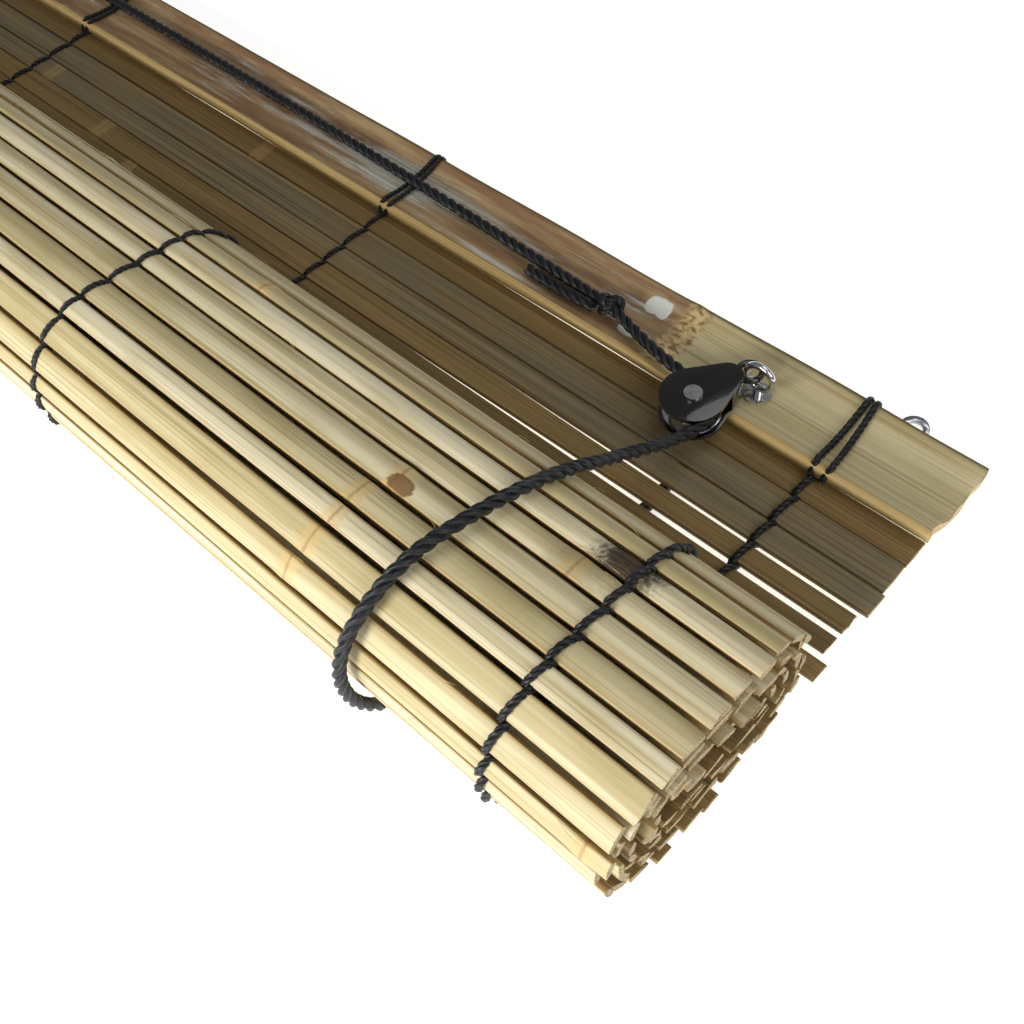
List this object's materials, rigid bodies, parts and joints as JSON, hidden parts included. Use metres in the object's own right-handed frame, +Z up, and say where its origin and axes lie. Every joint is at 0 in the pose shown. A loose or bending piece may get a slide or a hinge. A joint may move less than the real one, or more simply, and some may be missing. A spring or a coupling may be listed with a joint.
{
  "type": "split bamboo roll-up blind",
  "caption": "Partly rolled split-bamboo blind lying flat: curved head slat with pulleys, woven slats, a flattened roll, twisted lift cords and put-away pull cords.",
  "frame": {"origin": "middle of the blind's footprint on the table it lies on, pull cords not counted", "axes": "+X along the slats, +Y from the roll to the head slat, +Z up off the table"},
  "size_m": [0.899, 0.1779, 0.0614],
  "materials": {
    "bamboo_head": "split culm with a satin inner wall, fine lengthwise fibre lines and papery white pith",
    "bamboo_slat": "pale straw skin, satin, with fibre streaks, cut golden edges and node scars",
    "cane_rod": "round cane, satin",
    "warp_thread": "black twisted polyester thread",
    "cord": "black three-strand twisted polyester cord, slightly glossy strands",
    "pulley_case": "black lacquered case with worn bright edges",
    "zinc": "bright zinc-plated steel",
    "hanger_steel": "flat zinc-plated strip",
    "tie": "black tie band"
  },
  "bodies": {
    "head": {"apron_slats": "bamboo_slat", "apron_stitches": "warp_thread", "head_slat": "bamboo_head", "head_stitches": "warp_thread", "screw_eye_left": "zinc", "eye_flange_left": "zinc", "back_washer_left": "zinc", "hanger_left": "hanger_steel", "hanger_tacks_left": "hanger_steel", "screw_eye_right": "zinc", "eye_flange_right": "zinc", "back_washer_right": "zinc", "hanger_right": "hanger_steel", "hanger_tacks_right": "hanger_steel", "pulley_case_right": "pulley_case", "pulley_rivet_right": "zinc", "pulley_case_left": "pulley_case", "pulley_rivet_left": "zinc", "lift_under_right": "cord", "lift_under_left": "cord", "lift_tie_left": "cord", "lift_tie_right": "cord", "pull_cord_right": "cord", "pull_cord_left": "cord", "splice_tail": "cord", "cord_end_right": "cord", "cord_end_left": "cord", "splice_knot": "cord", "end_knot_right": "cord", "end_knot_left": "cord", "coil_right": "cord", "coil_tie_right": "tie", "coil_left": "cord", "coil_tie_left": "tie"},
    "wrap_1": {"wrap_1_slats": "bamboo_slat", "wrap_1_stitches": "warp_thread"},
    "wrap_2": {"wrap_2_slats": "bamboo_slat", "wrap_2_stitches": "warp_thread"},
    "wrap_3": {"wrap_3_slats": "bamboo_slat", "wrap_3_stitches": "warp_thread"},
    "wrap_4": {"wrap_4_slats": "bamboo_slat", "wrap_4_stitches": "warp_thread"},
    "wrap_5": {"wrap_5_slats": "bamboo_slat", "wrap_5_stitches": "warp_thread"},
    "roll_core": {"core_slats": "bamboo_slat", "core_stitches": "warp_thread", "bottom_rods": "cane_rod"},
    "lift_loops": {"lift_loop_right": "cord", "lift_loop_left": "cord"},
    "sheave_right_wheel": {"sheave_right": "zinc"},
    "sheave_left_low_wheel": {"sheave_left_low": "zinc"},
    "sheave_left_high_wheel": {"sheave_left_high": "zinc"}
  },
  "joints": [
    {"name": "unroll_1", "type": "hinge", "parent": "head", "child": "wrap_1", "pos_m": [0, -0.06009, 0.00512], "axis": [1, 0, 0], "range_deg": [0, 21.13]},
    {"name": "unroll_2", "type": "hinge", "parent": "wrap_1", "child": "wrap_2", "pos_m": [0, -0.0759, 0.01142], "axis": [1, 0, 0], "range_deg": [0, 43.5]},
    {"name": "unroll_3", "type": "hinge", "parent": "wrap_2", "child": "wrap_3", "pos_m": [0, -0.08431, 0.02793], "axis": [1, 0, 0], "range_deg": [0, 39.31]},
    {"name": "unroll_4", "type": "hinge", "parent": "wrap_3", "child": "wrap_4", "pos_m": [0, -0.08126, 0.0422], "axis": [1, 0, 0], "range_deg": [0, 39.59]},
    {"name": "unroll_5", "type": "hinge", "parent": "wrap_4", "child": "wrap_5", "pos_m": [0, -0.0669, 0.05356], "axis": [1, 0, 0], "range_deg": [0, 39.64]},
    {"name": "unroll_6", "type": "hinge", "parent": "wrap_5", "child": "roll_core", "pos_m": [0, -0.04993, 0.0533], "axis": [1, 0, 0], "range_deg": [0, 7.56]},
    {"name": "loop_feed", "type": "slide", "parent": "head", "child": "lift_loops", "axis": [0, -1, 0], "range_m": [0, 0.1122], "deforming": ["lift_loop_right", "lift_loop_left"]},
    {"name": "sheave_right_spin", "type": "hinge", "parent": "head", "child": "sheave_right_wheel", "pos_m": [0.32372, 0.04306, 0.01733], "axis": [0, 0, 1], "continuous": true},
    {"name": "sheave_left_low_spin", "type": "hinge", "parent": "head", "child": "sheave_left_low_wheel", "pos_m": [-0.32372, 0.04306, 0.01733], "axis": [0, 0, 1], "continuous": true},
    {"name": "sheave_left_high_spin", "type": "hinge", "parent": "head", "child": "sheave_left_high_wheel", "pos_m": [-0.32372, 0.04306, 0.02533], "axis": [0, 0, 1], "continuous": true}
  ],
  "couplings": [
    {"joint": "unroll_1", "follows": "unroll_2", "ratio": 0.47509},
    {"joint": "unroll_3", "follows": "unroll_2", "ratio": 0.88483},
    {"joint": "unroll_4", "follows": "unroll_2", "ratio": 0.89098},
    {"joint": "unroll_5", "follows": "unroll_2", "ratio": 0.89222},
    {"joint": "unroll_6", "follows": "unroll_2", "ratio": 0.1692},
    {"joint": "loop_feed", "follows": "unroll_2", "m_per_rad": 0.14487}
  ]
}
